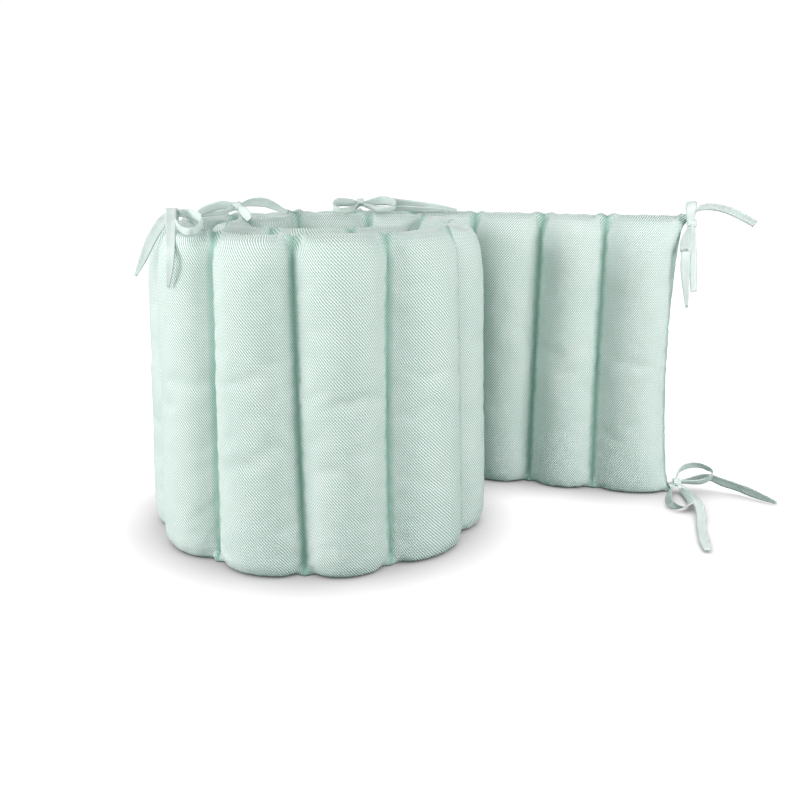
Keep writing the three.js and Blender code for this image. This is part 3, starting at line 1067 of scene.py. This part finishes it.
class Shade:
    """A shader socket that adds Math nodes when it is used in an expression."""

    def __init__(self, tree: "Tree", socket: bpy.types.NodeSocket) -> None:
        """Keeps the socket and the tree that it belongs to."""
        self.tree = tree
        self.socket = socket

    def math(self, operation: str, *values: "Shade | float") -> "Shade":
        """Adds one Math node.

        Args:
            operation: The Math node's operation.
            values: The values or links after this one.

        Returns:
            The node's result.
        """
        inputs = {0: self, **dict(enumerate(values, 1))}
        return self.tree.node("ShaderNodeMath", {"operation": operation}, inputs)

    def __add__(self, other: "Shade | float") -> "Shade":
        """This plus another."""
        return self.math("ADD", other)

    __radd__ = __add__

    def __mul__(self, other: "Shade | float") -> "Shade":
        """This times another."""
        return self.math("MULTIPLY", other)

    __rmul__ = __mul__

    def __sub__(self, other: "Shade | float") -> "Shade":
        """This minus another."""
        return self.math("SUBTRACT", other)

    def __rsub__(self, other: float) -> "Shade":
        """A number minus this."""
        return (self * -1.0) + other

    def __truediv__(self, other: "Shade | float") -> "Shade":
        """This divided by another."""
        return self.math("DIVIDE", other)

    def sine(self) -> "Shade":
        """The sine of this, in radians."""
        return self.math("SINE")

    def clamped(self) -> "Shade":
        """This, kept between 0 and 1."""
        return self.tree.node("ShaderNodeClamp", {}, {"Value": self})


class Tree:
    """One material's nodes."""

    def __init__(self, name: str) -> None:
        """Makes an empty material of that name."""
        self.material = bpy.data.materials.new(name)
        self.material.use_nodes = True
        self.nodes = self.material.node_tree.nodes
        self.links = self.material.node_tree.links
        self.nodes.clear()

    def node(self, kind: str, settings: dict, inputs: dict, output: str | int = 0) -> Shade:
        """Adds a node.

        Args:
            kind: The node's type.
            settings: Its own settings, which are set first.
            inputs: Values or links, by the name or number of the socket.
            output: The name or number of the result that is wanted.

        Returns:
            That result.
        """
        made = self.nodes.new(kind)
        for key, value in settings.items():
            setattr(made, key, value)
        for key, value in inputs.items():
            if isinstance(value, Shade):
                self.links.new(value.socket, made.inputs[key])
            else:
                made.inputs[key].default_value = value
        return Shade(self, made.outputs[output])

    def blend(self, share: "Shade | float", first: "Shade | tuple", second: "Shade | tuple") -> Shade:
        """A colour between two others.

        Args:
            share: 0 for the first colour, 1 for the second.
            first: The first colour.
            second: The second colour.

        Returns:
            The mixed colour.
        """
        return self.node(
            "ShaderNodeMix",
            {"data_type": "RGBA", "clamp_factor": True},
            {"Factor": share, 6: first, 7: second},
            2,
        )

    def finished(self, shader: Shade) -> bpy.types.Material:
        """Joins the last shader to the output, and returns the material."""
        output = self.nodes.new("ShaderNodeOutputMaterial")
        self.links.new(shader.socket, output.inputs["Surface"])
        return self.material

    def noise(self, place: Shade, scale: float, detail: float = 2.0, roughness: float = 0.5) -> Shade:
        """Smooth noise, from 0 to 1."""
        inputs = {"Vector": place, "Scale": scale, "Detail": detail, "Roughness": roughness}
        return self.node("ShaderNodeTexNoise", {}, inputs, "Fac")


def linear(red: int, green: int, blue: int) -> tuple[float, float, float, float]:
    """A colour given as it is seen, from 0 to 255, as the shader's linear one."""
    values = [v / 255 for v in (red, green, blue)]
    values = [v / 12.92 if v <= 0.04045 else ((v + 0.055) / 1.055) ** 2.4 for v in values]
    return (*values, 1.0)


@dataclass(frozen=True)
class DiamondCloth:
    """Cotton with a small raised weave of slanting grains, with light and shade painted into its
    colour.
    """

    name: str = "mint_diamond_cloth"
    # The raised grains are painted almost white and the sunk ones darker: partly the weave's own
    # look, partly a painted highlight on the grains and painted shade in the hollows between them.
    raised: tuple = linear(253, 255, 254)
    sunk: tuple = linear(142, 184, 170)
    # The colour of the shade painted along each seam.
    shaded: tuple = linear(112, 168, 150)
    grain_wide: float = 0.0024
    grain_high: float = 0.00335
    weave_depth: float = 0.0004
    drift_scale: float = 60.0
    drift_turn: float = 0.7
    falling_share: float = 0.50
    rising_share: float = 0.15
    across_share: float = 0.06
    up_share: float = 0.04
    patch_scale: float = 22.0
    patch_share: float = 0.3
    patch_level: float = 0.13
    # How wide the painted seam shade is, and how far it goes towards the shaded colour.
    seam_shade_width: float = 0.009
    seam_shade: float = 0.7

    def material(self) -> bpy.types.Material:
        """Builds the material.

        Returns:
            A material that reads the "flat_cloth" UV map, in metres, and the
            "from_seam" attribute, the distance to the nearest seam, which places the painted seam
            shade.
        """
        tree = Tree(self.name)
        uv = tree.node("ShaderNodeUVMap", {"uv_map": "flat_cloth"}, {})
        place = tree.node("ShaderNodeTexCoord", {}, {}, "Object")
        from_seam = tree.node("ShaderNodeAttribute", {"attribute_name": "from_seam"}, {}, "Fac")
        u = tree.node("ShaderNodeSeparateXYZ", {}, {0: uv}, "X")
        v = tree.node("ShaderNodeSeparateXYZ", {}, {0: uv}, "Y")
        drift = tree.noise(place, self.drift_scale) * self.drift_turn
        across = u * (2 * math.pi / self.grain_wide) + drift
        up = v * (2 * math.pi / self.grain_high) + drift
        falling = (across + up).sine()
        rising = (across - up).sine()
        slanting = falling * self.falling_share + rising * self.rising_share
        grain = slanting + across.sine() * self.across_share + up.sine() * self.up_share + 0.5
        patch = tree.noise(place, self.patch_scale, 3.0)
        height = (grain + patch * self.patch_share - self.patch_level).clamped()
        # Weave colour: partly the cloth's own pattern, partly a painted highlight on the raised
        # grains and painted shade in the sunk ones.
        colour = tree.blend(height, self.sunk, self.raised)
        # Painted shade: the cloth darkens towards the shaded colour near each seam.
        painted_seam_shade_share = (1.0 - from_seam / self.seam_shade_width).clamped()
        colour = tree.blend(painted_seam_shade_share * self.seam_shade, colour, self.shaded)
        relief = {"Strength": 0.6, "Distance": self.weave_depth, "Height": grain}
        bump = tree.node("ShaderNodeBump", {}, relief, "Normal")
        shader = tree.node(
            "ShaderNodeBsdfPrincipled",
            {},
            {
                "Base Color": colour,
                "Roughness": 0.95 - grain * 0.12,
                "Normal": bump,
                "Sheen Weight": 0.15,
                "Sheen Roughness": 0.5,
                "Specular IOR Level": 0.2,
            },
        )
        return tree.finished(shader)


@dataclass(frozen=True)
class RibbonCloth:
    """Plain woven ribbon with a turned and stitched edge."""

    name: str = "mint_ribbon"
    light: tuple = linear(228, 233, 231)
    dark: tuple = linear(206, 223, 217)
    stitched_at: float = 0.0033
    stitch_sharpness: float = 25.0
    stitch_shade: float = 0.6
    patch_scale: float = 90.0
    crease_scale: float = 110.0
    crease_depth: float = 0.0002

    def material(self) -> bpy.types.Material:
        """Builds the material.

        Returns:
            A material that reads the "ribbon" UV map, whose first value is the place
            across the ribbon, in metres.
        """
        tree = Tree(self.name)
        uv = tree.node("ShaderNodeUVMap", {"uv_map": "ribbon"}, {})
        place = tree.node("ShaderNodeTexCoord", {}, {}, "Object")
        across = tree.node("ShaderNodeSeparateXYZ", {}, {0: uv}, "X") / self.stitched_at
        off = across * across - 1
        stitched = (1 - off * off * self.stitch_sharpness).clamped()
        patch = tree.noise(place, self.patch_scale, 3.0)
        share = (patch - stitched * self.stitch_shade).clamped()
        colour = tree.blend(share, self.dark, self.light)
        height = tree.noise(place, self.crease_scale, 2.0)
        relief = {"Strength": 0.1, "Distance": self.crease_depth, "Height": height}
        bump = tree.node("ShaderNodeBump", {}, relief, "Normal")
        shader = tree.node(
            "ShaderNodeBsdfPrincipled",
            {},
            {
                "Base Color": colour,
                "Roughness": 0.72 - patch * 0.14,
                "Normal": bump,
                "Sheen Weight": 0.3,
                "Sheen Roughness": 0.4,
                "Specular IOR Level": 0.35,
            },
        )
        return tree.finished(shader)


# ---- The studio --------------------------------------------------------------------


@dataclass(frozen=True)
class Softbox:
    """A soft square light. Its places are metres from the middle of the roll."""

    name: str
    place: tuple[float, float, float]
    aim: tuple[float, float, float]
    watts: float
    side: float = 0.9


@dataclass
class Studio:
    """The white floor, the surroundings, the lights and the camera."""

    centre: Vector
    camera_place: Vector = field(default_factory=lambda: Vector((0.0807, -0.981, 0.3807)))
    camera_pitch_deg: float = 14.86
    lens_mm: float = 45.0
    sensor_mm: float = 36.0
    floor_side: float = 16.0
    floor_drop: float = 0.0004
    floor_grey: float = 0.04
    floor_glow: float = 1.12
    contact_shadow: float = 0.065
    horizon_band: tuple[float, ...] = (0.455, 0.465, 0.56, 0.60)
    horizon_light: tuple = (0.38, 0.62, 0.55, 1.0)
    backdrop_white: tuple = (1.02, 1.02, 1.02, 1.0)
    overhead_light: tuple = (0.10, 0.155, 0.135, 1.0)
    light_from_below: tuple = (0.10, 0.155, 0.135, 1.0)
    warm_white: tuple = (1.0, 0.93, 0.955)
    softboxes: tuple[Softbox, ...] = (
        Softbox("softbox_left", (-1.80, -0.65, 0.62), (0.0, 0.0, 0.15), 33.0),
        Softbox("softbox_right", (1.62, -1.00, 0.70), (0.1, 0.0, 0.15), 7.0),
        Softbox("softbox_tail", (0.80, -0.46, 0.34), (0.25, 0.08, 0.15), 3.6, 0.4),
        Softbox("softbox_front", (-0.35, -1.35, 1.25), (0.0, 0.0, 0.15), 13.0),
        Softbox("softbox_back", (0.15, 1.75, 1.10), (0.1, 0.0, 0.15), 24.0),
    )

    def build_floor(self) -> None:
        """Makes the white floor, just under the bumper.

        It glows white, and its glow dims where the bumper stands close over it: that
        paints the shadow which gathers there. It sends no light back up: the lower half
        of the surroundings does that, more evenly.
        """
        deselect_all()
        bpy.ops.mesh.primitive_plane_add(size=self.floor_side, location=(0, 0, -self.floor_drop))
        floor = bpy.context.object
        floor.name = "studio_floor"
        floor.visible_diffuse = False
        floor.visible_glossy = False
        floor.visible_shadow = False
        tree = Tree("studio_white")
        # Painted contact shadow: the floor's glow is dimmed where the bumper stands close over it.
        reach = {"Distance": self.contact_shadow}
        painted_contact_shadow_share = tree.node("ShaderNodeAmbientOcclusion", {"samples": 16}, reach, "AO")
        white = (self.floor_glow,) * 3 + (1.0,)
        black = (0.0, 0.0, 0.0, 1.0)
        shader = tree.node(
            "ShaderNodeBsdfPrincipled",
            {},
            {
                "Base Color": (self.floor_grey,) * 3 + (1.0,),
                "Roughness": 0.95,
                "Specular IOR Level": 0.0,
                "Emission Color": tree.blend(painted_contact_shadow_share, black, white),
                "Emission Strength": 1.0,
            },
        )
        floor.data.materials.append(tree.finished(shader))

    def build_surroundings(self) -> None:
        """Makes a white backdrop, and a sky that shines more at the horizon."""
        world = bpy.data.worlds.new("studio_world")
        bpy.context.scene.world = world
        world.use_nodes = True
        nodes, links = world.node_tree.nodes, world.node_tree.links
        place = nodes.new("ShaderNodeTexCoord")
        parts = nodes.new("ShaderNodeSeparateXYZ")
        ramp = nodes.new("ShaderNodeValToRGB")
        ramp.color_ramp.elements.remove(ramp.color_ramp.elements[0])
        horizon = (self.horizon_light, self.horizon_light)
        lights = (self.light_from_below, *horizon, self.overhead_light)
        for height, light in zip(self.horizon_band, lights):
            ramp.color_ramp.elements.new(height).color = light
        ramp.color_ramp.elements[-1].color = self.overhead_light
        half = nodes.new("ShaderNodeMath")
        half.operation = "MULTIPLY_ADD"
        half.inputs[1].default_value = 0.5
        half.inputs[2].default_value = 0.5
        links.new(place.outputs["Generated"], parts.inputs[0])
        links.new(parts.outputs["Z"], half.inputs[0])
        links.new(half.outputs[0], ramp.inputs[0])
        links.new(ramp.outputs["Color"], nodes["Background"].inputs["Color"])
        backdrop = nodes.new("ShaderNodeBackground")
        backdrop.inputs["Color"].default_value = self.backdrop_white
        seen = nodes.new("ShaderNodeLightPath")
        either = nodes.new("ShaderNodeMixShader")
        links.new(seen.outputs["Is Camera Ray"], either.inputs[0])
        links.new(nodes["Background"].outputs[0], either.inputs[1])
        links.new(backdrop.outputs[0], either.inputs[2])
        links.new(either.outputs[0], nodes["World Output"].inputs[0])

    def add_softbox(self, box: Softbox) -> None:
        """Adds one soft light that faces the bumper.

        Args:
            box: The light's place, size and power.
        """
        light = bpy.data.lights.new(box.name, "AREA")
        light.energy = box.watts
        light.size = box.side
        light.color = self.warm_white
        stand = bpy.data.objects.new(box.name, light)
        stand.location = self.centre + Vector(box.place)
        stand.rotation_mode = "QUATERNION"
        stand.rotation_quaternion = (Vector(box.place) - Vector(box.aim)).to_track_quat("Z", "Y")
        stand.visible_camera = False
        bpy.context.scene.collection.objects.link(stand)

    def build_lights(self) -> None:
        """Makes the surroundings and the softboxes, and keeps colours as they are."""
        self.build_surroundings()
        for box in self.softboxes:
            self.add_softbox(box)
        bpy.context.scene.view_settings.view_transform = "Standard"

    def build_camera(self) -> None:
        """Makes the camera."""
        data = bpy.data.cameras.new("camera")
        data.lens = self.lens_mm
        data.sensor_width = self.sensor_mm
        camera = bpy.data.objects.new("camera", data)
        camera.location = self.centre + self.camera_place
        camera.rotation_euler = (math.radians(90 - self.camera_pitch_deg), 0, 0)
        bpy.context.scene.collection.objects.link(camera)
        bpy.context.scene.camera = camera


# ---- The whole bumper --------------------------------------------------------------


def finish_piece(
    piece: bpy.types.Object, material: bpy.types.Material, node: str
) -> None:
    """Gives a piece its finish and its place in the frame.

    Args:
        piece: The piece.
        material: Its material.
        node: The solid that it stands for.
    """
    piece.data.materials.append(material)
    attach(piece, BODY)
    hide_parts(node)
    LOG.info("%s: %d faces", piece.name, len(piece.data.polygons))


def main() -> None:
    """Builds the bumper piece by piece."""
    logging.basicConfig(level=logging.INFO, format="%(name)s %(message)s")
    line = WoundLine()
    studio = Studio(line.centre)
    studio.build_camera()
    pad = QuiltedPad(line).build()
    finish_piece(pad, DiamondCloth().material(), "bumper_pad")
    ribbon_cloth = RibbonCloth().material()
    for table in TIES:
        maker = RibbonTie(table, line)
        tie = maker.build()
        finish_piece(tie, ribbon_cloth, table.name)
        maker.flat_size()
    studio.build_floor()
    studio.build_lights()


if __name__ == "__main__":
    main()
